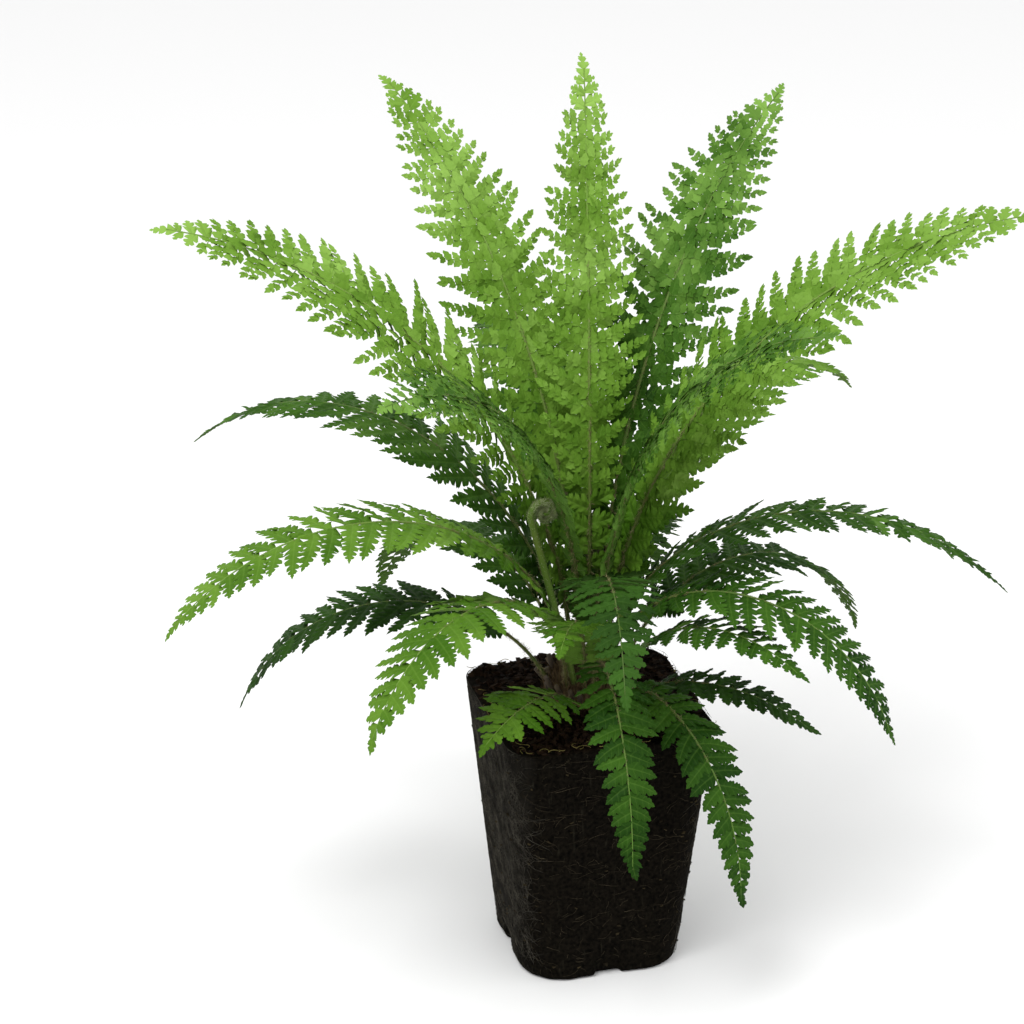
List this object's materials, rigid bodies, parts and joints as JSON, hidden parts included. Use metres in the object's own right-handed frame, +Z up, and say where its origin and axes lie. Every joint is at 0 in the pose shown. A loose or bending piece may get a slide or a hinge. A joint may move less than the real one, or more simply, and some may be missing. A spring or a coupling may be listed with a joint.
{
  "type": "potted soft shield fern",
  "caption": "Young soft shield fern with arching, finely cut fronds that grow from a scaly crown in a square, tapered ball of rooted compost.",
  "frame": {"origin": "centre of the flat foot of the root ball", "axes": "+Z up, away from the flat foot; the root ball's flat sides face +X, -X, +Y and -Y, and the side that the picture shows best faces -Y"},
  "size_m": [0.3575, 0.3245, 0.3803],
  "materials": {
    "compost": "matte, moist compost bound by fine roots",
    "crown": "matte, covered in papery brown scales",
    "frond_fresh": "soft satin, young yellow-green leaf",
    "frond_green": "soft satin, grown leaf",
    "frond_deep": "soft satin, older dark leaf",
    "crozier": "woolly, coiled young frond"
  },
  "bodies": {
    "root": {"root_ball": "compost", "crown": "crown", "frond_low_front_left": "frond_fresh", "frond_low_edge": "frond_fresh", "frond_hanging_front": "frond_green", "frond_hanging_corner": "frond_green", "frond_low_right": "frond_deep", "frond_low_back_right": "frond_green", "frond_low_back": "frond_deep", "frond_low_back_left": "frond_green", "frond_low_left": "frond_deep", "frond_arch_front_right": "frond_green", "frond_arch_right": "frond_green", "frond_arch_back_right": "frond_fresh", "frond_arch_back": "frond_green", "frond_arch_back_left": "frond_green", "frond_arch_left": "frond_fresh", "frond_arch_front": "frond_deep", "frond_young_left": "frond_fresh", "frond_young_right": "frond_green", "frond_tall_middle": "frond_fresh", "frond_tall_right": "frond_fresh", "frond_tall_back_right": "frond_green", "frond_tall_back_left": "frond_fresh", "frond_tall_left": "frond_fresh", "frond_tall_front_left": "frond_green", "frond_tall_front_right": "frond_green", "crozier_front": "crozier", "crozier_right": "crozier", "crozier_back": "crozier"}
  },
  "joints": []
}
